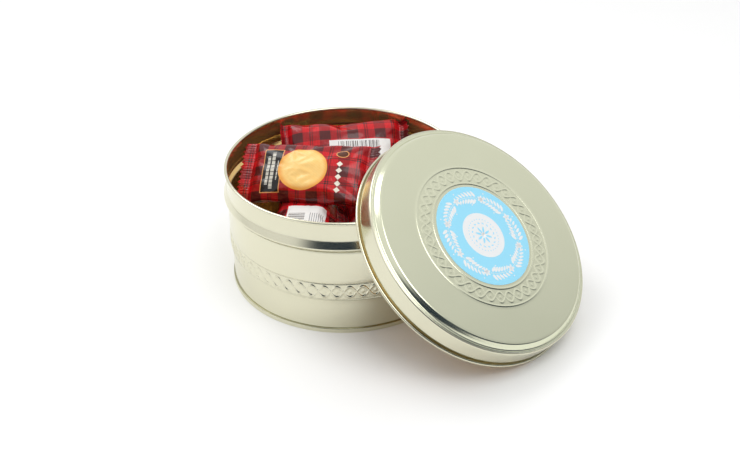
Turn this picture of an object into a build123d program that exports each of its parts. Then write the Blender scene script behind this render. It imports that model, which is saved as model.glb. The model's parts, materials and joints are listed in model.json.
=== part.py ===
"""Round biscuit tin: tin with its seamed-on base, lift-off lid leaning on the rim, and wrapped biscuits.

Millimetres. +Z is up, the floor is z = 0 and the origin is where the tin's axis meets the floor.
The lid leans on the +X side of the tin, with one edge on the floor.
"""

from build123d import *
import os
from math import cos, radians, sin

# Tin
SHEET = 0.3  # tinplate
RIM_RADIUS = 80.0  # outside of the rolled rim
TIN_HEIGHT = 85.2
RIM_ROLL = 1.1  # radius of the rolled rim's section
WALL_RADIUS = 79.0
LOWER_RADIUS = 78.2  # the wall steps in below the embossed band
STEP_Z = 25.6
STEP_RISE = 0.9
BEAD_RADIUS = 81.6  # shoulder that the closed lid's edge rests on
BEAD_LOW_Z = 63.0
BEAD_Z = 66.2
BEAD_TOP_Z = 71.0
SEAM_RADIUS = 79.2  # double seam that holds the base on
SEAM_TALL = 3.4
SEAM_WIDE = 2.0
SEAM_FILLET = 0.6
BASE_LIFT = 3.3  # underside of the base panel above the floor
PANEL_RING_RADIUS = 68.0
PANEL_RING_DROP = 0.8
WELD_AZIMUTH = 110.0  # side seam up the back of the wall
WELD_WIDE = 2.6

# Lid, along its own axis from the open edge's plane
LID_CURL_RADIUS = 82.7
LID_CURL_ROLL = 1.2
SKIRT_RADIUS = 81.2
SHOULDER_Z = 16.4
SHOULDER_ROUND = 1.6
SHOULDER_INNER = 78.5
PANEL_RADIUS = 75.4
PANEL_Z = 19.4
STICKER_RADIUS = 35.4
STICKER_THICK = 0.15

# How the lid leans
LID_TILT = 37.9  # between the lid's plane and the floor
LID_REACH = 99.0  # from the tin's axis to the lid's centre, level with the floor
FLOOR_GAP = 0.2

# Wrapped biscuits
CORE_LONG = 78.0
CORE_WIDE = 40.0
CORE_TALL = 12.0
CORE_CORNER = 9.0
CORE_EDGE = 4.5
SEAL_LONG = 10.0
SEAL_WIDE = 38.0
SEAL_THICK = 0.6
FILM = 0.4
BISCUIT_ROOM = 0.5  # air over and under the biscuits
BISCUIT_RADIUS = 16.5
BISCUIT_TALL = 9.0
BISCUIT_EDGE = 2.0
BISCUIT_OFFSET = 16.7  # the two biscuits lie side by side

# Each packet's centre, its long axis's heading and rise, and the tilt that lifts its far long edge
TOP_PACKETS = [
    {"centre": (-23.8, -8.7, 70.3), "heading": 24, "rise": 4, "tilt": 34, "folds": (0, 25)},
    {"centre": (-28.6, 39.5, 64.9), "heading": 41, "rise": 0, "tilt": 38, "folds": (75, 60)},
    {"centre": (-13.8, -25.4, 48.2), "heading": 121, "rise": 0, "tilt": 0, "folds": (0, 0)},
    {"centre": (42.2, 16.6, 48.2), "heading": 111, "rise": 0, "tilt": 0, "folds": (75, 75)},
]
LAYER_HEIGHTS = [35.4, 22.8, 10.2]  # centres of the three flat layers under them
LAYER_HEADINGS = [128, 38, 128]
LAYER_OFFSET = 20.4


def sheet(path, thickness=SHEET):
    """Closed section of thin plate whose outer face follows an open path, with its metal on the left."""
    return make_face(offset(path, amount=thickness, side=Side.LEFT, min_edge_length=0.01))


def turned(section, arc=360):
    """Solid of revolution of an XZ section about the Z axis."""
    return revolve(Plane.XZ * section, Axis.Z, arc)


def rolled_edge(radius, height, roll):
    """Rolled edge: a ring of round section."""
    return Torus(radius, roll).moved(Location((0, 0, height)))


def tin_body():
    step_top = STEP_Z + STEP_RISE
    path = (
        Line((LOWER_RADIUS, SHEET), (LOWER_RADIUS, STEP_Z))
        + Line((LOWER_RADIUS, STEP_Z), (WALL_RADIUS, step_top))
        + Line((WALL_RADIUS, step_top), (WALL_RADIUS, BEAD_LOW_Z))
        + TangentArc((WALL_RADIUS, BEAD_LOW_Z), (BEAD_RADIUS, BEAD_Z), tangent=(1, 0))
        + Line((BEAD_RADIUS, BEAD_Z), (WALL_RADIUS, BEAD_TOP_Z))
        + Line((WALL_RADIUS, BEAD_TOP_Z), (WALL_RADIUS, TIN_HEIGHT - RIM_ROLL))
    )
    rim = rolled_edge(RIM_RADIUS - RIM_ROLL, TIN_HEIGHT - RIM_ROLL, RIM_ROLL)
    return turned(sheet(path)) + rim + side_seam(step_top)


def side_seam(bottom):
    """Flat lap where the wall's sheet is joined, on the inside between the step and the bead."""
    tall = BEAD_LOW_Z - bottom - 1.0
    lap = Pos(WALL_RADIUS - 1.5 * SHEET, (bottom + BEAD_LOW_Z) / 2) * Rectangle(SHEET, tall)
    arc = WELD_WIDE / radians(WALL_RADIUS)
    return turned(lap, arc).rotate(Axis.Z, WELD_AZIMUTH)


def base_disc():
    """Recessed bottom panel whose edge wraps the wall's lower end as the standing ring."""
    inner = SEAM_RADIUS - SEAM_WIDE
    outer_floor = SEAM_RADIUS - SEAM_FILLET
    inner_floor = inner + SEAM_FILLET
    ring_in = PANEL_RING_RADIUS - 2.0
    ring_out = PANEL_RING_RADIUS + 2.0
    path = (
        Line((SEAM_RADIUS, SEAM_TALL), (SEAM_RADIUS, SEAM_FILLET))
        + RadiusArc((SEAM_RADIUS, SEAM_FILLET), (outer_floor, 0), SEAM_FILLET)
        + Line((outer_floor, 0), (inner_floor, 0))
        + RadiusArc((inner_floor, 0), (inner, SEAM_FILLET), SEAM_FILLET)
        + Line((inner, SEAM_FILLET), (inner, BASE_LIFT - SEAM_FILLET))
        + RadiusArc(
            (inner, BASE_LIFT - SEAM_FILLET), (inner - SEAM_FILLET, BASE_LIFT), -SEAM_FILLET
        )
        + Line((inner - SEAM_FILLET, BASE_LIFT), (ring_out, BASE_LIFT))
        + ThreePointArc(
            (ring_out, BASE_LIFT),
            (PANEL_RING_RADIUS, BASE_LIFT - PANEL_RING_DROP),
            (ring_in, BASE_LIFT),
        )
        + Line((ring_in, BASE_LIFT), (0, BASE_LIFT))
    )
    return turned(sheet(path))


def lid_place():
    """Lid's frame: its Z is the lid's outward normal and its X points downhill."""
    tilt = radians(LID_TILT)
    curl_centre = LID_CURL_RADIUS - LID_CURL_ROLL
    height = FLOOR_GAP + LID_CURL_ROLL + curl_centre * sin(tilt) - LID_CURL_ROLL * cos(tilt)
    return Location((LID_REACH, 0, height), (0, LID_TILT, 0))


def lid():
    corner_out = SKIRT_RADIUS - SHOULDER_ROUND
    path = (
        Line((SKIRT_RADIUS, LID_CURL_ROLL), (SKIRT_RADIUS, SHOULDER_Z - SHOULDER_ROUND))
        + RadiusArc(
            (SKIRT_RADIUS, SHOULDER_Z - SHOULDER_ROUND), (corner_out, SHOULDER_Z), -SHOULDER_ROUND
        )
        + Line((corner_out, SHOULDER_Z), (SHOULDER_INNER, SHOULDER_Z))
        + Line((SHOULDER_INNER, SHOULDER_Z), (PANEL_RADIUS, PANEL_Z))
        + Line((PANEL_RADIUS, PANEL_Z), (0, PANEL_Z))
    )
    curl = rolled_edge(LID_CURL_RADIUS - LID_CURL_ROLL, LID_CURL_ROLL, LID_CURL_ROLL)
    return turned(sheet(path)) + curl


def lid_sticker():
    return Pos(0, 0, PANEL_Z) * extrude(Circle(STICKER_RADIUS), STICKER_THICK)


def packet_place(centre, heading, rise, tilt):
    """Packet's frame: X along its length, Z out of its broad face; rise lifts the +X end."""
    return Location(centre) * Rotation(0, 0, heading) * Rotation(0, -rise, 0) * Rotation(tilt, 0, 0)


def wrapper(folds):
    """Flow wrap: a pillow round the biscuits with a flat crimped seal at each end."""
    pillow = extrude(RectangleRounded(CORE_LONG, CORE_WIDE, CORE_CORNER), CORE_TALL / 2, both=True)
    broad_faces = pillow.faces().filter_by(Axis.Z)
    pillow = fillet(broad_faces.edges(), CORE_EDGE)
    for side, fold in zip((-1, 1), folds):
        pillow += crimped_seal(side, fold)
    for side in (-1, 1):
        room = Cylinder(BISCUIT_RADIUS + FILM, BISCUIT_TALL + 2 * BISCUIT_ROOM)
        pillow -= Pos(side * BISCUIT_OFFSET, 0, 0) * room
    return pillow


def crimped_seal(side, fold):
    """Flat end seal, bent up about the pillow's end by an angle."""
    reach = SEAL_LONG + 1.0
    tab = Pos(reach / 2 - 1.0, 0, 0) * Box(reach, SEAL_WIDE, SEAL_THICK)
    bent = Rotation(0, -fold, 0) * tab
    flipped = bent if side > 0 else mirror(bent, Plane.YZ)
    return Pos(side * CORE_LONG / 2, 0, 0) * flipped


def biscuits():
    """The two rounds inside a packet."""
    one = Cylinder(BISCUIT_RADIUS, BISCUIT_TALL)
    one = fillet(one.edges(), BISCUIT_EDGE)
    return Compound([Pos(side * BISCUIT_OFFSET, 0, 0) * one for side in (-1, 1)])


def lower_packets():
    """Places of the packets in the flat layers, two side by side in each."""
    places = []
    for height, heading in zip(LAYER_HEIGHTS, LAYER_HEADINGS):
        across = radians(heading + 90)
        for side in (1, -1):
            centre = (side * LAYER_OFFSET * cos(across), side * LAYER_OFFSET * sin(across), height)
            places.append({"centre": centre, "heading": heading, "rise": 0, "tilt": 0, "folds": (0, 0)})
    return places


def all_parts():
    parts = {"tin_body": tin_body(), "base_disc": base_disc()}
    parts["lid"] = lid_place() * lid()
    parts["lid_sticker"] = lid_place() * lid_sticker()
    for number, packet in enumerate(TOP_PACKETS + lower_packets(), start=1):
        place = packet_place(packet["centre"], packet["heading"], packet["rise"], packet["tilt"])
        parts[f"wrapper_{number}"] = place * wrapper(packet["folds"])
        parts[f"biscuits_{number}"] = place * biscuits()
    return parts


os.makedirs("parts", exist_ok=True)
for name, shape in all_parts().items():
    export_step(shape, f"parts/{name}.step")
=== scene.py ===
"""Looks of a round biscuit tin: embossed tinplate, its leaning lid and the wrapped shortbread inside."""

import json
import math

import bpy
import numpy as np
from mathutils import Matrix, Vector, noise


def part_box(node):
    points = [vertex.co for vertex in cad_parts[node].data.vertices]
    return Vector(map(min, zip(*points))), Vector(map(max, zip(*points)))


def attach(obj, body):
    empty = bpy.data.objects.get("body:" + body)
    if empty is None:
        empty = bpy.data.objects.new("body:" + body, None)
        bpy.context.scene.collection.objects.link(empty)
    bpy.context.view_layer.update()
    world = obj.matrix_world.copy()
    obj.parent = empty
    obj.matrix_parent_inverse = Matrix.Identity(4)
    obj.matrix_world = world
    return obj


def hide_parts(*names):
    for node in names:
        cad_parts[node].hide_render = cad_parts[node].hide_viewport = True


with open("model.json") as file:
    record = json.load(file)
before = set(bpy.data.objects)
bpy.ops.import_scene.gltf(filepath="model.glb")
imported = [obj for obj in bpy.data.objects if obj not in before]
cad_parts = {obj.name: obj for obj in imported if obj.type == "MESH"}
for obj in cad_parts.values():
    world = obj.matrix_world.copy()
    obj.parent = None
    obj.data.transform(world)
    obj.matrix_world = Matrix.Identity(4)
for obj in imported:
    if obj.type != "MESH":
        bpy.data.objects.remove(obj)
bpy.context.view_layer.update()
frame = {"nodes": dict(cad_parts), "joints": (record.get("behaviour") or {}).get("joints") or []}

MM = 0.001
TAU = 2 * math.pi

# Places read from the frame
JOINTS = {joint["name"]: joint for joint in frame["joints"]}
TIN_LOW, TIN_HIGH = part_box("tin_body")
TIN_TOP = TIN_HIGH.z
BEAD_RADIUS = TIN_HIGH.x
RIM_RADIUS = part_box("base_disc")[1].x + 0.8 * MM
LID_NORMAL = Vector(JOINTS["lid_lift"]["axis"]).normalized()
PACKET_COUNT = sum(name.startswith("wrapper_") for name in frame["nodes"])

# Tin
SHEET = 0.3 * MM
WALL_RADIUS = RIM_RADIUS - 1.0 * MM
COLLAR_RADIUS = RIM_RADIUS - 0.96 * MM
LOWER_RADIUS = RIM_RADIUS - 1.8 * MM
SEAM_RADIUS = RIM_RADIUS - 0.8 * MM
RIM_ROLL = 1.1 * MM
SHOULDER_Z = TIN_TOP - 14.2 * MM
BEAD_Z = TIN_TOP - 19.0 * MM
CREASE_Z = TIN_TOP - 22.2 * MM
BAND_TOP_Z = 39.0 * MM
BAND_LOW_Z = 26.2 * MM
CHAIN_LINKS = 60
TIN_SEGMENTS = 20 * CHAIN_LINKS
SEAM_AZIMUTH = 110.0

# Lid, measured along its own axis from the plane of its open edge
LID_CURL_RADIUS = 82.7 * MM
LID_CURL_ROLL = 0.95 * MM
SKIRT_RADIUS = 81.2 * MM
LID_SHOULDER = 16.4 * MM
LID_PANEL_RADIUS = 75.4 * MM
LID_PANEL = 19.4 * MM
STICKER_RADIUS = 35.4 * MM
STICKER_THICK = 0.15 * MM
WREATH_RADIUS = 0.77 * STICKER_RADIUS
RING_INNER = 37.9 * MM
RING_OUTER = 49.9 * MM
RING_LINKS = 36
LID_SEGMENTS = 24 * RING_LINKS


# ---------------------------------------------------------------- meshes


def new_piece(name, vertices, faces, materials, body, face_materials=None, smooth=True):
    """Mesh object that rides on a body and takes its finish from a material slot."""
    mesh = bpy.data.meshes.new(name)
    mesh.from_pydata([tuple(v) for v in vertices], [], faces)
    for material in materials:
        mesh.materials.append(material)
    if face_materials is not None:
        mesh.polygons.foreach_set("material_index", face_materials)
    mesh.polygons.foreach_set("use_smooth", [smooth] * len(mesh.polygons))
    mesh.update()
    piece = bpy.data.objects.new(name, mesh)
    bpy.context.scene.collection.objects.link(piece)
    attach(piece, body)
    return piece


def arc(centre, radius, start, end, count):
    """Points on a circular arc, angles in degrees from the first axis."""
    angles = np.radians(np.linspace(start, end, count))
    return [(centre[0] + radius * math.cos(a), centre[1] + radius * math.sin(a)) for a in angles]


def steps(start, end, count):
    """Evenly spaced points of a straight run, without its two ends."""
    shares = np.linspace(0, 1, count + 2)[1:-1]
    return [(start[0] + s * (end[0] - start[0]), start[1] + s * (end[1] - start[1])) for s in shares]


def lathe(profile, segments, relief=None):
    """Closed surface of revolution. The profile is a closed loop of (radius, height) points.

    relief(azimuth, radius, height) gives each point's shift as arrays (out, up).
    """
    loop = np.array(profile)
    azimuth = np.arange(segments) * TAU / segments
    grid_azimuth, radius = np.meshgrid(azimuth, loop[:, 0], indexing="ij")
    height = np.broadcast_to(loop[:, 1], radius.shape).copy()
    if relief is not None:
        out, up = relief(grid_azimuth, radius, height)
        radius = radius + out
        height = height + up
    points = np.stack([radius * np.cos(grid_azimuth), radius * np.sin(grid_azimuth), height], axis=-1)
    count = len(profile)
    index = np.arange(segments * count).reshape(segments, count)
    beside = np.roll(index, -1, axis=0)
    above = np.roll(index, -1, axis=1)
    corner = np.roll(beside, -1, axis=1)
    quads = np.stack([index, beside, corner, above], axis=-1).reshape(-1, 4)
    return points.reshape(-1, 3), quads.tolist()


def smooth_step(low, high, value):
    """Eased 0 to 1 as the value goes from low to high, which may be the lower of the two."""
    share = np.clip((value - low) / (high - low), 0, 1)
    return share * share * (3 - 2 * share)


def ridge(distance, half_width):
    """Rounded ridge, 1 on its crest and 0 beyond its half width."""
    share = np.clip(1 - (distance / half_width) ** 2, 0, 1)
    return share * share


def chain_relief(turn, across, links, height_scale):
    """Height of two interlaced strands with a boss in each eye.

    turn is the angle round the chain in radians, and across runs from -1 to 1 over its band.
    """
    phase = turn * links / 2
    wave = 0.62 * np.sin(phase)
    slope = np.abs(np.cos(phase))
    width = 0.17 + 0.06 * slope
    over = 0.5 + 0.5 * np.cos(2 * phase)
    first = ridge(across - wave, width) * (1 - 0.45 * over * (np.cos(phase) > 0))
    second = ridge(across + wave, width) * (1 - 0.45 * over * (np.cos(phase) < 0))
    boss = 0.55 * ridge(np.hypot(across / 0.26, np.cos(phase) / 0.42), 1.0)
    return height_scale * np.maximum(np.maximum(first, second), boss)


# ---------------------------------------------------------------- node helpers


class Nodes:
    """Short calls for building a node tree."""

    def __init__(self, tree):
        self.tree = tree

    def node(self, kind, settings=None, **inputs):
        made = self.tree.nodes.new(kind)
        for key, value in (settings or {}).items():
            setattr(made, key, value)
        for key, value in inputs.items():
            self.put(made.inputs[key.replace("_", " ")], value)
        return made

    def put(self, socket, value):
        """Links a node's output to the socket, or sets a plain value on it."""
        if isinstance(value, bpy.types.NodeSocket):
            self.tree.links.new(value, socket)
        else:
            socket.default_value = value

    def math(self, operation, first, second=0.0):
        made = self.tree.nodes.new("ShaderNodeMath")
        made.operation = operation
        self.put(made.inputs[0], first)
        self.put(made.inputs[1], second)
        return made.outputs[0]

    def add(self, first, second):
        return self.math("ADD", first, second)

    def subtract(self, first, second):
        return self.math("SUBTRACT", first, second)

    def multiply(self, first, second):
        return self.math("MULTIPLY", first, second)

    def ramp(self, value, low, high):
        """Smooth 0 to 1 as the value goes from low to high."""
        made = self.node("ShaderNodeMapRange", {"interpolation_type": "SMOOTHSTEP"})
        self.put(made.inputs["Value"], value)
        made.inputs["From Min"].default_value = low
        made.inputs["From Max"].default_value = high
        return made.outputs["Result"]

    def blend(self, amount, first, second):
        """First colour where the amount is 0, second where it is 1."""
        made = self.tree.nodes.new("ShaderNodeMix")
        made.data_type = "RGBA"
        self.put(made.inputs["Factor"], amount)
        self.put(made.inputs["A"], first)
        self.put(made.inputs["B"], second)
        return made.outputs["Result"]

    def noise(self, scale, detail=3.0, roughness=0.55, place=None):
        inputs = {"Scale": scale, "Detail": detail, "Roughness": roughness}
        made = self.node("ShaderNodeTexNoise", None, **inputs)
        if place is not None:
            self.put(made.inputs["Vector"], place)
        return made.outputs["Fac"]


class Shade(Nodes):
    """One material and its shader."""

    def __init__(self, name):
        self.material = bpy.data.materials.new(name)
        self.material.use_nodes = True
        super().__init__(self.material.node_tree)
        self.shader = self.tree.nodes["Principled BSDF"]

    def object_place(self):
        return self.node("ShaderNodeTexCoord").outputs["Object"]

    def bump(self, height, strength, distance):
        made = self.node("ShaderNodeBump", None, Strength=strength, Distance=distance, Height=height)
        self.put(self.shader.inputs["Normal"], made.outputs["Normal"])

    def set(self, **inputs):
        for key, value in inputs.items():
            self.put(self.shader.inputs[key.replace("_", " ")], value)
        return self.material


def tinplate(name, base, tint, rough, metallic=1.0):
    """Satin lacquered tinplate with faint rolling grain, blotches and fine scuffs."""
    shade = Shade(name)
    place = shade.object_place()
    blotch = shade.noise(28.0, 2.0, place=place)
    grain = shade.noise(2600.0, 2.0, place=place)
    scuff = shade.noise(310.0, 5.0, 0.7, place=place)
    worn = shade.ramp(scuff, 0.62, 0.78)
    colour = shade.blend(blotch, base, tint)
    roughness = shade.add(shade.multiply(blotch, 0.07), rough)
    shade.bump(grain, 0.06, 0.00005)
    return shade.set(
        Base_Color=colour,
        Metallic=metallic,
        Roughness=shade.add(roughness, shade.multiply(worn, 0.10)),
    )


def paper(name, base, tint):
    """Matt printed paper with faint fibres."""
    shade = Shade(name)
    place = shade.object_place()
    fibre = shade.noise(1400.0, 4.0, 0.7, place=place)
    shade.bump(fibre, 0.12, 0.00004)
    return shade.set(Base_Color=shade.blend(fibre, base, tint), Roughness=0.42)


CHAMPAGNE = tinplate("champagne_tinplate", (0.71, 0.69, 0.53, 1), (0.75, 0.73, 0.57, 1), 0.17)
LID_CHAMPAGNE = tinplate("lid_tinplate", (0.72, 0.735, 0.55, 1), (0.76, 0.775, 0.59, 1), 0.18)
# Darker olive tinplate for the crease above the lid's curl and the top of the foot seam: painted shade,
# the shade of these crevices painted into the colour.
CREASE_SHADE = tinplate("tinplate_painted_crease_shade", (0.30, 0.29, 0.18, 1), (0.35, 0.34, 0.22, 1), 0.3)
GOLD = tinplate("gold_lacquer", (0.80, 0.52, 0.19, 1), (0.86, 0.60, 0.26, 1), 0.14, 0.86)
STICKER_BLUE = paper("sticker_blue", (0.31, 0.76, 1.0, 1), (0.36, 0.80, 1.0, 1))
STICKER_WHITE = paper("sticker_white", (0.86, 0.88, 0.89, 1), (0.92, 0.93, 0.93, 1))


# ---------------------------------------------------------------- tin


def tin_outline():
    """Outer face of the wall from its foot to the rim, then the inner face back down."""
    outer = [(LOWER_RADIUS, TIN_LOW.z)]
    outer += steps(outer[-1], (LOWER_RADIUS, BAND_LOW_Z - 1.2 * MM), 6)
    outer += [(LOWER_RADIUS, BAND_LOW_Z - 1.2 * MM), (LOWER_RADIUS + 0.12 * MM, BAND_LOW_Z - 0.7 * MM)]
    outer += [(WALL_RADIUS - 0.15 * MM, BAND_LOW_Z - 0.15 * MM), (WALL_RADIUS - 0.05 * MM, BAND_LOW_Z)]
    outer += steps(outer[-1], (WALL_RADIUS - 0.05 * MM, BAND_TOP_Z), 42)
    outer += [(WALL_RADIUS - 0.05 * MM, BAND_TOP_Z), (WALL_RADIUS + 0.1 * MM, BAND_TOP_Z + 0.5 * MM)]
    outer += steps(outer[-1], (WALL_RADIUS + 0.1 * MM, CREASE_Z - 0.6 * MM), 8)
    outer += [(WALL_RADIUS + 0.1 * MM, CREASE_Z - 0.6 * MM), (WALL_RADIUS - 0.25 * MM, CREASE_Z)]
    outer += arc((WALL_RADIUS + 0.35 * MM, CREASE_Z + 0.75 * MM), 0.6 * MM, -160, -75, 5)
    outer += arc((BEAD_RADIUS - 1.3 * MM, BEAD_Z), 1.3 * MM, -70, 25, 9)
    outer += steps(outer[-1], (COLLAR_RADIUS + 0.5 * MM, SHOULDER_Z - 0.5 * MM), 6)
    outer += [(COLLAR_RADIUS + 0.5 * MM, SHOULDER_Z - 0.5 * MM), (COLLAR_RADIUS + 0.12 * MM, SHOULDER_Z)]
    outer += steps(outer[-1], (COLLAR_RADIUS, TIN_TOP - 2.6 * MM), 5)
    outer += [(COLLAR_RADIUS, TIN_TOP - 2.4 * MM), (COLLAR_RADIUS + 0.03 * MM, TIN_TOP - 2.0 * MM)]
    rim = arc((RIM_RADIUS - RIM_ROLL, TIN_TOP - RIM_ROLL), RIM_ROLL, -62, 235, 26)
    inner = [(r - SHEET, z) for r, z in reversed(outer)]
    return outer + rim + inner, len(outer) + len(rim) - 1


def wall_relief(azimuth, radius, height):
    """Interlaced chain between two grooves, the side seam, and the faint waves of thin tinplate."""
    middle = (BAND_TOP_Z + BAND_LOW_Z) / 2
    across = (height - middle) / ((BAND_TOP_Z - BAND_LOW_Z) / 2)
    inside_band = smooth_step(0.9, 0.84, np.abs(across))
    out = chain_relief(azimuth, across, CHAIN_LINKS, 0.56 * MM) * inside_band
    out = out - 0.34 * MM * ridge(np.abs(across) - 0.93, 0.07)
    below_rim = smooth_step(TIN_TOP - 2.4 * MM, TIN_TOP - 3.4 * MM, height)
    away = np.abs((azimuth - math.radians(SEAM_AZIMUTH) + math.pi) % TAU - math.pi) * WALL_RADIUS
    out = out + 0.28 * MM * smooth_step(1.6 * MM, 1.2 * MM, away) * below_rim
    wave = np.sin(5 * azimuth + 90 * height) + 0.6 * np.sin(11 * azimuth - 160 * height + 1.3)
    out = out + 0.03 * MM * wave * below_rim * smooth_step(CREASE_Z + 1 * MM, CREASE_Z - 4 * MM, height)
    return out, np.zeros_like(height)


def build_tin():
    """Wall with its rim, champagne outside and gold inside."""
    outline, turn = tin_outline()
    points, quads = lathe(outline, TIN_SEGMENTS, wall_relief)
    columns = len(outline)
    inside = [1 if turn <= i % columns < columns - 1 else 0 for i in range(len(quads))]
    tin = new_piece("tin_wall", points, quads, [CHAMPAGNE, GOLD], "tin", inside)
    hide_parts("tin_body")


def pressed_ring(radius, crest, half_width, depth):
    """Depth at this radius of a round-topped ring pressed into the bottom."""
    share = min(max((radius - crest) / half_width, -1), 1)
    return depth * math.cos(share * math.pi / 2) ** 2


def build_base():
    """Double seam round the foot and the recessed bottom panel with its pressed rings."""
    low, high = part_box("base_disc")
    panel = high.z - 0.4 * MM
    seam_top = high.z - 0.1 * MM
    outline = arc((SEAM_RADIUS - 0.8 * MM, seam_top - 0.7 * MM), 0.8 * MM, 110, 0, 7)
    outline += arc((SEAM_RADIUS - 0.6 * MM, low.z + 0.6 * MM), 0.6 * MM, 0, -90, 6)
    outline += arc((SEAM_RADIUS - 1.4 * MM, low.z + 0.6 * MM), 0.6 * MM, -90, -180, 6)
    chuck = SEAM_RADIUS - 2.0 * MM
    outline += arc((chuck - 0.6 * MM, panel - 0.6 * MM), 0.6 * MM, 0, 90, 6)
    panel_start = len(outline)
    for radius in np.linspace(chuck - 1.2 * MM, 1 * MM, 90):
        rings = pressed_ring(radius, 68 * MM, 3.0 * MM, 0.45 * MM)
        rings += pressed_ring(radius, 61 * MM, 2.5 * MM, 0.3 * MM)
        outline.append((radius, panel - rings))
    inner = [(r, z + SHEET) for r, z in reversed(outline[panel_start:])]
    foot = [(SEAM_RADIUS - 1.6 * MM, panel + SHEET), (SEAM_RADIUS - 1.4 * MM, seam_top - 0.2 * MM)]
    outline += inner + foot
    points, quads = lathe(outline, TIN_SEGMENTS // 4)
    # The first four steps of the outline, the top of the double seam, take painted shade: the darker
    # crease tinplate stands in for the shade in that fold.
    painted_crease_shade, plain = 1, 0
    coats_and_shade = [painted_crease_shade if step < 4 else plain for step in range(len(outline))] * (TIN_SEGMENTS // 4)
    base = new_piece("base_panel", points, quads, [CHAMPAGNE, CREASE_SHADE], "tin", coats_and_shade)
    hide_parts("base_disc")


# ---------------------------------------------------------------- lid


def lid_matrix():
    """Lid's frame: Z along its outward normal, origin in the plane of its open edge."""
    low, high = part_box("lid_sticker")
    panel_middle = (low + high) / 2 - LID_NORMAL * (STICKER_THICK / 2)
    origin = panel_middle - LID_NORMAL * LID_PANEL
    across = Vector((0, 1, 0))
    downhill = across.cross(LID_NORMAL)
    columns = Matrix((downhill, across, LID_NORMAL)).transposed()
    return Matrix.Translation(origin) @ columns.to_4x4()


def lid_outline():
    """Outer face from the curled edge up to the panel's middle, then the inner face back.

    Also gives where on it the crease above the curl, the top of the skirt and the inner face start.
    """
    outer = arc((LID_CURL_RADIUS - LID_CURL_ROLL, LID_CURL_ROLL), LID_CURL_ROLL, -125, 125, 24)
    crease = len(outer)
    neck = SKIRT_RADIUS - 0.7 * MM
    outer += [(neck, 1.9 * MM), (neck, 2.2 * MM), (neck + 0.45 * MM, 3.0 * MM), (SKIRT_RADIUS, 4.2 * MM)]
    skirt_top = LID_SHOULDER - 1.1 * MM
    outer += steps((SKIRT_RADIUS, 4.2 * MM), (SKIRT_RADIUS, skirt_top), 5)
    outer += arc((SKIRT_RADIUS - 1.1 * MM, skirt_top), 1.1 * MM, 0, 72, 8)
    skirt = len(outer)
    outer += arc((SKIRT_RADIUS - 1.0 * MM, LID_SHOULDER + 0.06 * MM), 0.2 * MM, -75, -150, 4)
    outer += arc((SKIRT_RADIUS - 1.9 * MM, LID_SHOULDER - 0.55 * MM), 0.75 * MM, 35, 100, 7)
    foot = (LID_PANEL_RADIUS + 2.8 * MM, LID_SHOULDER + 0.1 * MM)
    slope = 7.3 * MM
    lean = 31
    middle = (
        foot[0] - slope * math.cos(math.radians(lean)),
        foot[1] - slope * math.sin(math.radians(lean)),
    )
    outer += arc(middle, slope, lean, 50, 8)
    outer += arc((LID_PANEL_RADIUS - 0.3 * MM, LID_PANEL - 1.5 * MM), 1.5 * MM, 52, 62, 3)
    edge = 0.4 * MM
    outer += arc((LID_PANEL_RADIUS - 0.1 * MM, LID_PANEL - edge), edge, 62, 90, 4)
    outer += steps(outer[-1], (RING_OUTER + 0.9 * MM, LID_PANEL), 14)
    outer += [(r, LID_PANEL) for r in np.linspace(RING_OUTER + 0.9 * MM, RING_INNER - 0.9 * MM, 52)]
    outer += [(r, LID_PANEL) for r in np.linspace(RING_INNER - 1.6 * MM, 1 * MM, 10)]
    inner = []
    for radius, height in reversed(outer[crease + 2 :]):
        inset = SHEET if radius > LID_PANEL_RADIUS else 0
        inner.append((radius - inset, height - SHEET))
    return outer + inner, crease, skirt, len(outer)


def panel_relief(azimuth, radius, height):
    """Ring of interlaced chain between two raised borders, pressed up from the panel."""
    middle = (RING_INNER + RING_OUTER) / 2
    half = (RING_OUTER - RING_INNER) / 2
    across = (radius - middle) / half
    on_panel = height > LID_PANEL - 2 * SHEET
    chain = chain_relief(azimuth, across * 1.08, RING_LINKS, 0.17 * MM)
    chain = chain * smooth_step(0.98, 0.9, np.abs(across))
    border = 0.24 * MM * ridge(np.abs(np.abs(across) - 1.0), 0.13)
    return np.zeros_like(radius), np.where(on_panel, chain + border, 0)


def build_lid():
    """Whole lid in one shell, with a coat of lacquer for each stretch of its outline and painted shade in
    the crease above the curl.
    """
    outline, crease, skirt, turn = lid_outline()
    points, quads = lathe(outline, LID_SEGMENTS, panel_relief)
    place = np.array(lid_matrix())
    points = points @ place[:3, :3].T + place[:3, 3]
    metals = [CHAMPAGNE, LID_CHAMPAGNE, GOLD, CREASE_SHADE]
    coats_and_shade = [metals.index(CHAMPAGNE)] * skirt
    coats_and_shade += [metals.index(LID_CHAMPAGNE)] * (turn - 1 - skirt)
    coats_and_shade += [metals.index(GOLD)] * (len(outline) - turn + 1)
    # The six quads round the crease above the curl take painted shade: the darker crease tinplate stands
    # in for the shade in that fold.
    coats_and_shade[crease - 4 : crease + 2] = [metals.index(CREASE_SHADE)] * 6
    lid = new_piece("lid_shell", points, quads, metals, "lid", coats_and_shade * LID_SEGMENTS)
    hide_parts("lid")


def flat_disc(radius, bottom, top, count):
    """Thin disc with a slightly rounded edge, as a closed loop for the lathe."""
    edge = (top - bottom) * 0.4
    loop = [(radius, bottom), (radius, top - edge), (radius - edge, top)]
    loop += [(r, top) for r in np.linspace(radius - 3 * edge, 0.02 * MM, count)]
    loop += [(0.02 * MM, bottom)]
    return loop


def petal(middle, heading, length, width, count=10):
    """Pointed oval outline in the sticker's plane."""
    shares = np.linspace(0, TAU, count, endpoint=False)
    along = length / 2 * np.cos(shares)
    side = width / 2 * np.sin(shares) * (1 - 0.25 * np.cos(shares))
    turn = np.array([[math.cos(heading), -math.sin(heading)], [math.sin(heading), math.cos(heading)]])
    return np.stack([along, side], axis=-1) @ turn.T + np.array(middle)


def on_ring(radius, angle):
    """Place in the sticker's plane, from its middle."""
    return np.array((radius * math.cos(angle), radius * math.sin(angle)))


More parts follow.
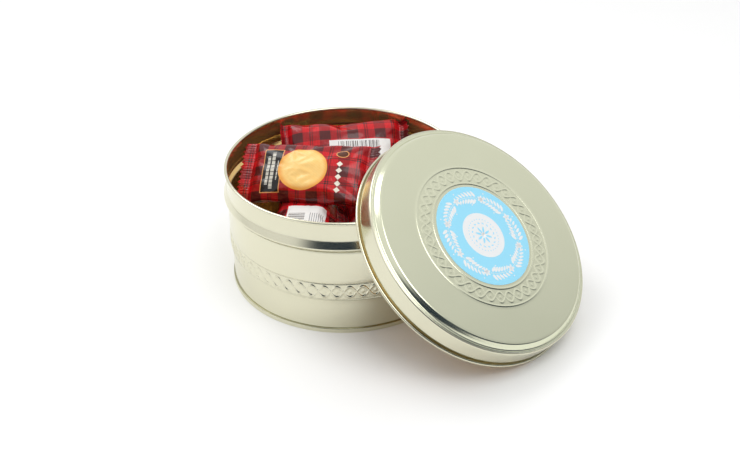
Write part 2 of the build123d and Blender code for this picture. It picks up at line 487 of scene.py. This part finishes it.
def sprig(start, reach, lean):
    """Stem along the wreath with paired leaves that lean forward."""
    shapes = []
    for share in np.linspace(0.08, 1, 6):
        angle = start + reach * share
        size = (5.2 - 1.8 * share) * MM
        for side in (-1, 1):
            heading = angle + math.copysign(math.pi / 2, reach) - side * lean
            root = on_ring(WREATH_RADIUS + 0.35 * size * math.sin(side * lean), angle)
            shapes.append(petal(root + on_ring(0.42 * size, heading), heading, size, 0.40 * size))
    for share in np.linspace(0, 0.96, 9):
        angle = start + reach * share
        long = abs(reach) * WREATH_RADIUS / 7
        shapes.append(petal(on_ring(WREATH_RADIUS, angle), angle + math.pi / 2, long, 0.35 * MM, 6))
    return shapes


def flower(angle, petals, size):
    """Small open flower on the wreath."""
    middle = on_ring(WREATH_RADIUS, angle)
    turns = np.arange(petals) * TAU / petals + angle
    return [petal(middle + on_ring(0.55 * size, turn), turn, size, 0.62 * size) for turn in turns]


def wreath_shapes():
    """Eight leaning sprigs with a flower at the foot of each, and berries on both sides."""
    shapes = []
    for number in range(8):
        start = number * TAU / 8 + 0.1
        shapes += sprig(start, 0.52, 0.75 + 0.12 * (number % 2))
        shapes += flower(start - 0.13, 5 + number % 2, 2.8 * MM)
    for number in range(16):
        radius = STICKER_RADIUS * (0.91 if number % 2 else 0.62)
        shapes.append(petal(on_ring(radius, number * TAU / 16 + 0.3), 0, 1.0 * MM, 1.0 * MM))
    return shapes


def rosette_shapes():
    """Plain ornament in the white middle: a ring of petals inside two fine garlands."""
    shapes = []
    for count, radius, lean, length, width in (
        (8, 4.0 * MM, 0, 4.6 * MM, 1.5 * MM),
        (16, 8.6 * MM, 1.1, 2.0 * MM, 0.8 * MM),
        (32, 11.4 * MM, 0, 0.7 * MM, 0.7 * MM),
    ):
        turns = np.arange(count) * TAU / count
        shapes += [petal(on_ring(radius, turn), turn + lean, length, width) for turn in turns]
    return shapes


def lay_shapes(name, shapes, height, material):
    """Flat printed shapes laid on the sticker."""
    points = []
    faces = []
    for shape in shapes:
        faces.append(list(range(len(points), len(points) + len(shape))))
        points += [(x, y, height) for x, y in shape]
    place = np.array(lid_matrix())
    points = np.array(points) @ place[:3, :3].T + place[:3, 3]
    new_piece(name, points, faces, [material], "lid", smooth=False)


def build_sticker():
    """Blue paper disc with a white middle, and the wreath and rosette printed on it."""
    place = np.array(lid_matrix())
    top = LID_PANEL + STICKER_THICK
    for name, radius, low, high, material in (
        ("sticker_paper", STICKER_RADIUS, LID_PANEL, top, STICKER_BLUE),
        ("sticker_middle", 0.45 * STICKER_RADIUS, top - 0.01 * MM, top + 0.03 * MM, STICKER_WHITE),
    ):
        points, quads = lathe(flat_disc(radius, low, high, 6), 256)
        points = points @ place[:3, :3].T + place[:3, 3]
        piece = new_piece(name, points, quads, [material], "lid")
        if name == "sticker_paper":
            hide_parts("lid_sticker")
    lay_shapes("sticker_wreath", wreath_shapes(), top + 0.03 * MM, STICKER_WHITE)
    lay_shapes("sticker_rosette", rosette_shapes(), top + 0.06 * MM, STICKER_BLUE)


# ---------------------------------------------------------------- packets


# Film, laid flat: its whole length, half its girth, and the seals' length
FILM_LONG = 102.0 * MM
FILM_WIDE = 50.0 * MM
SEAL_LONG = 9.6 * MM
COLUMNS = 100
ROWS = 48
SEAL_COLUMNS = 9
# How far each packet's two end seals are folded up, in degrees, and which packets lie on their face
FOLD_ANGLES = {1: (0, 25), 2: (75, 60), 4: (75, 75)}
FACE_DOWN = (2, 3, 6, 9)
# How far the print is off centre on a packet
PRINT_SHIFTS = {3: (-36.0 * MM, 6.5 * MM), 4: (8 * MM, 2 * MM)}
SHOWN_PACKETS = 4
BISCUIT_RADIUS = 16.5 * MM
BISCUIT_TALL = 9.0 * MM
BISCUIT_OFFSET = 16.7 * MM
PILLOW_RISE = 5.5 * MM
WALL_CLEARANCE = 0.5 * MM
SIM_SCALE = 10.0
SIM_FRAMES = 26

CHECK_PITCH = 20.5 * MM
THREAD_PITCH = 1.1 * MM
INK_BLACK = (0.012, 0.010, 0.010, 1)
INK_GOLD = (0.80, 0.36, 0.12, 1)


def film_grid():
    """Flat places of the film's grid points, along and across one face of the tube."""
    along = np.linspace(-FILM_LONG / 2, FILM_LONG / 2, COLUMNS + 1)
    across = np.linspace(-FILM_WIDE / 2, FILM_WIDE / 2, ROWS + 1)
    return np.meshgrid(along, across, indexing="ij")


def bag_faces(sealed):
    """Quads of the upper and lower sheets, which share their edges.

    Where sealed is true the seals at both ends are one sheet, as they are for the simulation.
    """
    upper = np.arange((COLUMNS + 1) * (ROWS + 1)).reshape(COLUMNS + 1, ROWS + 1)
    lower = upper.copy()
    first = SEAL_COLUMNS + 1 if sealed else 1
    free = lower[first : COLUMNS + 1 - first, 1:ROWS]
    lower[first : COLUMNS + 1 - first, 1:ROWS] = upper.size + np.arange(free.size).reshape(free.shape)
    top = np.stack([upper[:-1, :-1], upper[1:, :-1], upper[1:, 1:], upper[:-1, 1:]], axis=-1)
    low = np.stack([lower[:-1, :-1], lower[:-1, 1:], lower[1:, 1:], lower[1:, :-1]], axis=-1)
    if sealed:
        low = low[SEAL_COLUMNS : COLUMNS - SEAL_COLUMNS]
    return upper, lower, top.reshape(-1, 4), low.reshape(-1, 4)


def pillow_height(along, across):
    """Rough height of one face of the filled packet over its middle plane."""
    core = FILM_LONG / 2 - SEAL_LONG
    lengthwise = np.clip(1 - np.abs(along / core) ** 7, 0, 1) ** 0.5
    crosswise = np.clip(1 - np.abs(across / (FILM_WIDE / 2)) ** 4, 0, 1) ** 0.5
    return PILLOW_RISE * lengthwise * crosswise


def simulate_packets(count):
    """Blows the film tubes up round their biscuits, each slightly crumpled in its own way."""
    along, across = film_grid()
    upper, lower, top, low = bag_faces(sealed=True)
    height = pillow_height(along, across)
    total = int(lower.max()) + 1
    colliders = [biscuit_collider(side) for side in (-1, 1)]
    bags = []
    for number in range(count):
        flat = np.zeros((total, 3))
        start = np.zeros((total, 3))
        for index, sign in ((upper, 1), (lower, -1)):
            flat[index] = np.stack([along, across, sign * 0.0002 + 0 * along], axis=-1)
            ripple = crumple(along, across, number, sign)
            raised = sign * height * 1.15 + ripple
            start[index] = np.stack([along * 0.97, across * 0.93, raised], axis=-1)
        bags.append(film_object(number, start * SIM_SCALE, flat * SIM_SCALE, top, low))
    scene = bpy.context.scene
    for frame_number in range(1, SIM_FRAMES + 1):
        scene.frame_set(frame_number)
    depsgraph = bpy.context.evaluated_depsgraph_get()
    results = []
    for bag in bags:
        mesh = bag.evaluated_get(depsgraph).data
        points = np.empty(len(mesh.vertices) * 3)
        mesh.vertices.foreach_get("co", points)
        points = points.reshape(-1, 3) / SIM_SCALE
        results.append((points[upper], points[lower]))
    scene.frame_set(1)
    for piece in bags + colliders:
        data = piece.data
        bpy.data.objects.remove(piece)
        bpy.data.meshes.remove(data)
    return results


def crumple(along, across, number, sign):
    """Small start ripples, so that no two packets crease alike."""
    values = [
        noise.noise(Vector((u / MM / 14, v / MM / 9, 7.3 * number + 3 * sign)))
        for u, v in zip(along.ravel(), across.ravel())
    ]
    fade = np.clip((FILM_LONG / 2 - np.abs(along)) / (12 * MM), 0.25, 1)
    return np.array(values).reshape(along.shape) * 1.4 * MM * fade


def biscuit_collider(side):
    """One shortbread round, for the film to lie on."""
    radius = BISCUIT_RADIUS * SIM_SCALE
    tall = BISCUIT_TALL / 2 * SIM_SCALE
    loop = [(0.01 * radius, -tall), (radius * 0.93, -tall), (radius, -tall * 0.6), (radius, tall * 0.6)]
    loop += [(radius * 0.93, tall), (0.01 * radius, tall)]
    points, quads = lathe(loop, 48)
    points = points + np.array([side * BISCUIT_OFFSET * SIM_SCALE, 0, 0])
    mesh = bpy.data.meshes.new("collider")
    mesh.from_pydata([tuple(p) for p in points], [], quads)
    collider = bpy.data.objects.new("collider", mesh)
    bpy.context.scene.collection.objects.link(collider)
    modifier = collider.modifiers.new("collision", "COLLISION")
    modifier.settings.thickness_outer = 0.004
    modifier.settings.cloth_friction = 5
    return collider


def film_object(number, start, flat, top, low):
    """Film tube ready to simulate, ten times life size, whose rest shape is flat."""
    mesh = bpy.data.meshes.new("film")
    mesh.from_pydata([tuple(p) for p in start], [], top.tolist() + low.tolist())
    bag = bpy.data.objects.new("film", mesh)
    bpy.context.scene.collection.objects.link(bag)
    bag.shape_key_add(name="start")
    rest = bag.shape_key_add(name="flat")
    rest.data.foreach_set("co", flat.ravel())
    core = FILM_LONG / 2 - SEAL_LONG
    blown = bag.vertex_groups.new(name="blown")
    inside = np.flatnonzero(np.abs(flat[:, 0]) < (core - 0.5 * MM) * SIM_SCALE)
    blown.add(inside.tolist(), 1.0, "REPLACE")
    cloth = bag.modifiers.new("cloth", "CLOTH")
    settings = cloth.settings
    settings.quality = 8
    settings.mass = 0.25
    settings.tension_stiffness = 60
    settings.compression_stiffness = 60
    settings.shear_stiffness = 30
    settings.bending_stiffness = 0.5
    settings.air_damping = 3
    settings.rest_shape_key = rest
    settings.use_pressure = True
    settings.uniform_pressure_force = 1.3 + 0.25 * number
    settings.vertex_group_pressure = "blown"
    settings.effector_weights.gravity = 0
    cloth.collision_settings.distance_min = 0.004
    cloth.point_cache.frame_start = 1
    cloth.point_cache.frame_end = SIM_FRAMES
    return bag


def grid_normals(points):
    """Unit normals of a grid of points."""
    along = np.gradient(points, axis=0)
    across = np.gradient(points, axis=1)
    normal = np.cross(along, across)
    return normal / np.maximum(np.linalg.norm(normal, axis=-1, keepdims=True), 1e-12)


def finish_seals(upper, lower):
    """Gives the end seals their thickness, crimped ridges and saw-tooth edge."""
    column = np.arange(COLUMNS + 1)[:, None]
    row = np.arange(ROWS + 1)[None, :]
    in_seal = (column <= SEAL_COLUMNS - 1) | (column >= COLUMNS - SEAL_COLUMNS + 1)
    normal = grid_normals(upper)
    wave = np.where(row % 2 == 0, 1.0, -1.0)
    crimp = np.where(in_seal & (row > 0) & (row < ROWS), wave, 0.0)[..., None]
    upper = upper + normal * crimp * 0.5 * MM
    inner = (row > 0) & (row < ROWS) & (column > 0) & (column < COLUMNS)
    lower = np.where(in_seal[..., None], upper - normal * 0.22 * MM * inner[..., None], lower)
    lower[:, 0] = upper[:, 0]
    lower[:, -1] = upper[:, -1]
    tooth = np.where(row[0] % 4 < 2, 1.0, -1.0) * 1.6 * MM
    outward = upper[-1] - upper[-2]
    upper[-1] += outward / np.linalg.norm(outward, axis=-1, keepdims=True) * tooth[:, None]
    outward = upper[0] - upper[1]
    upper[0] += outward / np.linalg.norm(outward, axis=-1, keepdims=True) * tooth[:, None]
    lower[0] = upper[0]
    lower[-1] = upper[-1]
    return upper, lower


def fold_end(points, side, angle):
    """Bends an end seal up about the packet's end, round a small radius."""
    if not angle:
        return points
    hinge = FILM_LONG / 2 - SEAL_LONG
    beyond = side * points[..., 0] - hinge
    soft = 3.0 * MM
    share = np.clip(beyond / soft, 0, 1)
    turn = math.radians(angle) * share
    run = np.maximum(beyond, 0)
    bent = np.minimum(run, soft) * np.sinc(turn / TAU) + np.maximum(run - soft, 0) * np.cos(turn)
    rise = np.minimum(run, soft) * np.sin(turn / 2) + np.maximum(run - soft, 0) * np.sin(turn)
    moved = points.copy()
    height = points[..., 2]
    moved[..., 0] = np.where(beyond > 0, side * (hinge + bent - height * np.sin(turn)), points[..., 0])
    moved[..., 2] = np.where(beyond > 0, height * np.cos(turn) + rise, height)
    return moved


def packet_matrix(number):
    """Packet's frame from its biscuits: X along the packet towards +Y, Z out of its upper face."""
    biscuits = frame["nodes"][f"biscuits_{number}"]
    points = np.empty(len(biscuits.data.vertices) * 3)
    biscuits.data.vertices.foreach_get("co", points)
    points = points.reshape(-1, 3)
    low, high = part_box(f"biscuits_{number}")
    centre = (low + high) / 2
    spread = points - np.array(centre)
    values, axes = np.linalg.eigh(spread.T @ spread)
    long = Vector(axes[:, 2])
    up = Vector(axes[:, 0])
    if long.y < 0:
        long.negate()
    if up.z < 0:
        up.negate()
    if number in FACE_DOWN:
        up.negate()
    columns = Matrix((long, up.cross(long), up)).transposed()
    return Matrix.Translation(centre) @ columns.to_4x4()


def film_uv(mesh, upper_faces, shift):
    """Film's flat coordinates in metres; the lower face's run on beyond the upper one's."""
    along, across = film_grid()
    flat = np.stack([along.ravel(), across.ravel()], axis=-1)
    inner = np.zeros_like(along, dtype=bool)
    inner[1:COLUMNS, 1:ROWS] = True
    flat = np.concatenate([flat, flat[inner.ravel()]])
    layer = mesh.uv_layers.new(name="film")
    corner = np.empty(len(mesh.loops), dtype=int)
    mesh.loops.foreach_get("vertex_index", corner)
    uv = flat[corner]
    uv[4 * upper_faces :, 1] = FILM_WIDE - uv[4 * upper_faces :, 1]
    uv = uv - np.array(shift)
    layer.data.foreach_set("uv", uv.ravel())


def keep_in_tin(points):
    """Film that would pass the wall is turned aside by it and lies along it."""
    limit = LOWER_RADIUS - SHEET - WALL_CLEARANCE
    out = np.hypot(points[:, 0], points[:, 1])
    points[:, :2] *= np.minimum(1, limit / out)[:, None]
    return points


def build_packet(number, sheets, material):
    """Film of one packet, with its seals finished and folded, laid where its biscuits lie."""
    upper_points, lower_points = finish_seals(sheets[0].copy(), sheets[1].copy())
    turned_over = -1 if number in FACE_DOWN else 1
    for side, angle in zip((-1, 1), FOLD_ANGLES.get(number, (0, 0))):
        angle = turned_over * angle
        upper_points = fold_end(upper_points, side, angle)
        lower_points = fold_end(lower_points, side, angle)
    upper, lower, top, low = bag_faces(sealed=False)
    points = np.zeros((int(lower.max()) + 1, 3))
    points[lower] = lower_points
    points[upper] = upper_points
    place = np.array(packet_matrix(number))
    points = keep_in_tin(points @ place[:3, :3].T + place[:3, 3])
    faces = top.tolist() + low.tolist()
    name = f"film_{number}"
    film = new_piece(name, points, faces, [material], f"packet_{number}")
    film_uv(film.data, len(top), PRINT_SHIFTS.get(number, (0, 0)))
    smooth = film.modifiers.new("smooth", "SUBSURF")
    smooth.levels = 1
    smooth.render_levels = 1
    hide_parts(f"wrapper_{number}")


class FilmPrint(Shade):
    """Printed film: colour is laid over colour, by the film's flat coordinates in metres."""

    def __init__(self, name):
        super().__init__(name)
        flat = self.node("ShaderNodeUVMap", {"uv_map": "film"}).outputs["UV"]
        split = self.node("ShaderNodeSeparateXYZ", None, Vector=flat)
        self.along = split.outputs["X"]
        self.across = split.outputs["Y"]
        self.colour = INK_BLACK

    def lay(self, amount, colour):
        self.colour = self.blend(amount, self.colour, colour)

    def away(self, value, middle):
        return self.math("ABSOLUTE", self.subtract(value, middle))

    def bars(self, value, pitch, width, offset):
        """Repeated bars, their width given as a share of the pitch."""
        turn = self.math("FRACT", self.add(self.math("DIVIDE", value, pitch), offset))
        return self.ramp(self.away(turn, 0.5), width / 2 + 0.012, width / 2 - 0.012)

    def box(self, middle, half):
        """Mask of an upright box, from its middle and half its size."""
        edge = 0.12 * MM
        sides = [
            self.ramp(self.away(value, centre), reach + edge, reach - edge)
            for value, centre, reach in zip((self.along, self.across), middle, half)
        ]
        return self.multiply(*sides)

    def oval(self, middle, half, soft):
        """Mask of an oval, from its middle, its half axes and how soft its edge is."""
        u = self.math("DIVIDE", self.subtract(self.along, middle[0]), half[0])
        v = self.math("DIVIDE", self.subtract(self.across, middle[1]), half[1])
        square = self.add(self.multiply(u, u), self.multiply(v, v))
        return self.ramp(square, 1 + soft, 1 - soft)


def print_check(film):
    """Red and near-black check with fine lines."""
    along, across = film.along, film.across
    dark = film.add(film.bars(along, CHECK_PITCH, 0.40, 0.2), film.bars(across, CHECK_PITCH, 0.40, 0.55))
    fine = film.add(film.bars(along, CHECK_PITCH, 0.05, 0.74), film.bars(across, CHECK_PITCH, 0.05, 0.05))
    fine = film.add(fine, film.bars(along, CHECK_PITCH, 0.04, 0.66))
    fine = film.add(fine, film.bars(across, CHECK_PITCH, 0.04, 0.97))
    thread = film.add(film.bars(along, THREAD_PITCH, 0.5, 0), film.bars(across, THREAD_PITCH, 0.5, 0))
    film.colour = (0.76, 0.010, 0.016, 1)
    film.lay(film.multiply(thread, 0.5), (0.46, 0.003, 0.008, 1))
    film.lay(film.multiply(dark, 0.44), (0.018, 0.010, 0.010, 1))
    film.lay(film.multiply(fine, 0.6), INK_BLACK)


def print_panel(film):
    """Dark panel in a gold frame, with three lines of blank dashes."""
    middle = (-24.8 * MM, -1.5 * MM)
    film.lay(film.box(middle, (7.3 * MM, 17.6 * MM)), INK_GOLD)
    film.lay(film.box(middle, (6.7 * MM, 17.0 * MM)), INK_BLACK)
    for offset, thick, reach in (
        (-3.0 * MM, 1.1 * MM, 11.5 * MM),
        (0.5 * MM, 1.3 * MM, 14.5 * MM),
        (4.2 * MM, 0.4 * MM, 8.0 * MM),
    ):
        gaps = film.ramp(film.math("FRACT", film.multiply(film.across, 330)), 0.12, 0.2)
        line = film.box((middle[0] + offset, middle[1]), (thick, reach))
        film.lay(film.multiply(line, gaps), (0.62, 0.60, 0.52, 1))


def print_biscuit(film, place):
    """Picture of a round biscuit with a darker rim and faint furrows."""
    crumb = film.noise(420.0, 4.0, 0.6, place=place)
    diagonal = film.add(film.along, film.multiply(film.across, 1.4))
    furrow = film.ramp(film.math("SINE", film.multiply(diagonal, 2400)), 0.2, 1.0)
    baked = film.blend(crumb, (0.99, 0.58, 0.15, 1), (1.0, 0.74, 0.30, 1))
    baked = film.blend(film.multiply(furrow, 0.25), baked, (0.86, 0.42, 0.09, 1))
    inside_rim = film.oval((-1.8 * MM, 0.8 * MM), (15.8 * MM, 15.4 * MM), 0.25)
    baked = film.blend(inside_rim, (0.90, 0.40, 0.07, 1), baked)
    film.lay(film.oval((-2.2 * MM, 0.2 * MM), (17.8 * MM, 17.1 * MM), 0.02), baked)


def print_badge(film):
    """Blank oval badge over a row of lozenges."""
    middle = (25.0 * MM, 13.8 * MM)
    film.lay(film.oval(middle, (4.6 * MM, 3.4 * MM), 0.03), INK_GOLD)
    film.lay(film.oval(middle, (4.0 * MM, 2.8 * MM), 0.03), (0.10, 0.03, 0.012, 1))
    for number in range(5):
        beside = film.away(film.along, middle[0] - 1.0 * MM)
        above = film.away(film.across, (5.0 - 5.1 * number) * MM)
        film.lay(film.ramp(film.add(beside, above), 2.4 * MM, 2.1 * MM), (0.90, 0.86, 0.74, 1))


def print_back_label(film):
    """White label on the lower face, with bare bars and blank lines."""
    film.lay(film.box((11.0 * MM, 41.0 * MM), (22.6 * MM, 14.5 * MM)), (0.84, 0.84, 0.82, 1))
    lengthwise = film.node("ShaderNodeCombineXYZ", None, X=film.along).outputs[0]
    stripe = film.ramp(film.noise(1500.0, 1.0, 0.5, place=lengthwise), 0.5, 0.52)
    bars = film.box((10.0 * MM, 48.2 * MM), (15.0 * MM, 6.0 * MM))
    film.lay(film.multiply(stripe, bars), (0.05, 0.03, 0.03, 1))
    line = film.ramp(film.math("FRACT", film.multiply(film.across, 620)), 0.62, 0.7)
    notes = film.box((8.5 * MM, 33.5 * MM), (16.5 * MM, 5.5 * MM))
    film.lay(film.multiply(line, notes), (0.30, 0.30, 0.31, 1))


def printed_film():
    """Glossy wrinkled film with all of its print."""
    film = FilmPrint("printed_film")
    place = film.object_place()
    print_check(film)
    print_panel(film)
    print_biscuit(film, place)
    print_badge(film)
    print_back_label(film)
    wrinkle = film.noise(190.0, 4.0, 0.62, place=place)
    film.bump(wrinkle, 0.35, 0.0006)
    gloss = film.add(film.multiply(wrinkle, 0.14), 0.09)
    return film.set(Base_Color=film.colour, Roughness=gloss, IOR=1.45)


def shortbread():
    """Dry baked crumb, browner in patches."""
    shade = Shade("shortbread_crumb")
    place = shade.object_place()
    crumb = shade.noise(900.0, 6.0, 0.7, place=place)
    baked = shade.noise(60.0, 2.0, place=place)
    colour = shade.blend(crumb, (0.70, 0.42, 0.14, 1), (0.88, 0.64, 0.30, 1))
    shade.bump(crumb, 0.7, 0.0004)
    return shade.set(Base_Color=shade.blend(baked, colour, (0.62, 0.34, 0.10, 1)), Roughness=0.85)


FILM = printed_film()
SHORTBREAD = shortbread()


def build_packets():
    """Four different films, used again in turn for the packets below, and the biscuits' crumb."""
    shapes = simulate_packets(SHOWN_PACKETS)
    for number in range(1, PACKET_COUNT + 1):
        build_packet(number, shapes[(number - 1) % SHOWN_PACKETS], FILM)
        frame["nodes"][f"biscuits_{number}"].data.materials.clear()
        frame["nodes"][f"biscuits_{number}"].data.materials.append(SHORTBREAD)


# ---------------------------------------------------------------- camera, floor and light


CAMERA_AZIMUTH = 36.2
CAMERA_ELEVATION = 32.89
CAMERA_ROLL = -0.84
CAMERA_LENS = 57.46
CAMERA_REACH = 10.317 * RIM_RADIUS
FOCUS_RIGHT = 0.2146 * RIM_RADIUS
FOCUS_HEIGHT = 0.3089 * RIM_RADIUS
LIT_POINT = Vector((0.04, 0, 0.04))


def build_camera():
    """Camera that looks down on the tin from its front left, with the frame turned a little."""
    azimuth = math.radians(CAMERA_AZIMUTH)
    elevation = math.radians(CAMERA_ELEVATION)
    right = Vector((math.cos(azimuth), math.sin(azimuth), 0))
    back = Vector((math.sin(azimuth), -math.cos(azimuth), 0)) * math.cos(elevation)
    back.z = math.sin(elevation)
    focus = right * FOCUS_RIGHT + Vector((0, 0, FOCUS_HEIGHT))
    camera = bpy.data.objects.new("camera", bpy.data.cameras.new("camera"))
    camera.data.lens = CAMERA_LENS
    camera.data.sensor_width = 36.0
    camera.location = focus + back * CAMERA_REACH
    turn = back.to_track_quat("Z", "Y").to_matrix() @ Matrix.Rotation(math.radians(CAMERA_ROLL), 3, "Z")
    camera.rotation_euler = turn.to_euler()
    bpy.context.scene.collection.objects.link(camera)
    bpy.context.scene.camera = camera


def build_floor():
    """Wide pale floor, almost even in tone."""
    shade = Shade("pale_floor")
    tone = shade.noise(6.0, 2.0)
    material = shade.set(
        Base_Color=shade.blend(tone, (0.93, 0.93, 0.925, 1), (0.95, 0.95, 0.945, 1)), Roughness=0.6
    )
    mesh = bpy.data.meshes.new("floor")
    half = 6.0
    corners = [(-half, -half, 0), (half, -half, 0), (half, half, 0), (-half, half, 0)]
    mesh.from_pydata(corners, [], [(0, 1, 2, 3)])
    mesh.materials.append(material)
    floor = bpy.data.objects.new("floor", mesh)
    bpy.context.scene.collection.objects.link(floor)


def build_world():
    """White studio all round, with the dark room behind the camera low down."""
    world = bpy.data.worlds.new("studio")
    bpy.context.scene.world = world
    world.use_nodes = True
    sky = Nodes(world.node_tree)
    place = sky.node("ShaderNodeTexCoord").outputs["Generated"]
    split = sky.node("ShaderNodeSeparateXYZ", None, Vector=place)
    x, y, height = split.outputs
    azimuth = math.radians(CAMERA_AZIMUTH)
    toward = sky.add(sky.multiply(x, math.sin(azimuth)), sky.multiply(y, -math.cos(azimuth)))
    sideways = sky.add(sky.multiply(x, math.cos(azimuth)), sky.multiply(y, math.sin(azimuth)))
    bearing = sky.math("ARCTAN2", sideways, toward)
    beside = sky.multiply(
        sky.ramp(bearing, math.radians(-46), math.radians(-24)),
        sky.ramp(bearing, math.radians(124), math.radians(80)),
    )
    low_down = sky.multiply(sky.ramp(height, -0.02, 0.02), sky.ramp(height, 0.72, 0.5))
    colour = sky.blend(sky.multiply(beside, low_down), (1, 1, 1, 1), (0.012, 0.028, 0.05, 1))
    background = sky.tree.nodes["Background"]
    sky.put(background.inputs["Color"], colour)
    background.inputs["Strength"].default_value = 0.90


def area_light(name, bearing, elevation, reach, size, power):
    """Square softbox aimed at the object; the bearing is counted from the camera's, rightwards."""
    azimuth = math.radians(CAMERA_AZIMUTH + bearing)
    up = math.radians(elevation)
    back = Vector((math.sin(azimuth) * math.cos(up), -math.cos(azimuth) * math.cos(up), math.sin(up)))
    data = bpy.data.lights.new(name, "AREA")
    data.size = size
    data.energy = power
    light = bpy.data.objects.new(name, data)
    light.location = LIT_POINT + back * reach
    light.rotation_euler = back.to_track_quat("Z", "Y").to_euler()
    bpy.context.scene.collection.objects.link(light)


build_tin()
build_base()
build_lid()
build_sticker()
build_packets()
build_camera()
build_floor()
build_world()
area_light("key", -125, 52, 1.2, 0.6, 3.6)
area_light("fill", 40, 62, 1.4, 0.9, 6.0)
bpy.context.scene.view_settings.view_transform = "Standard"
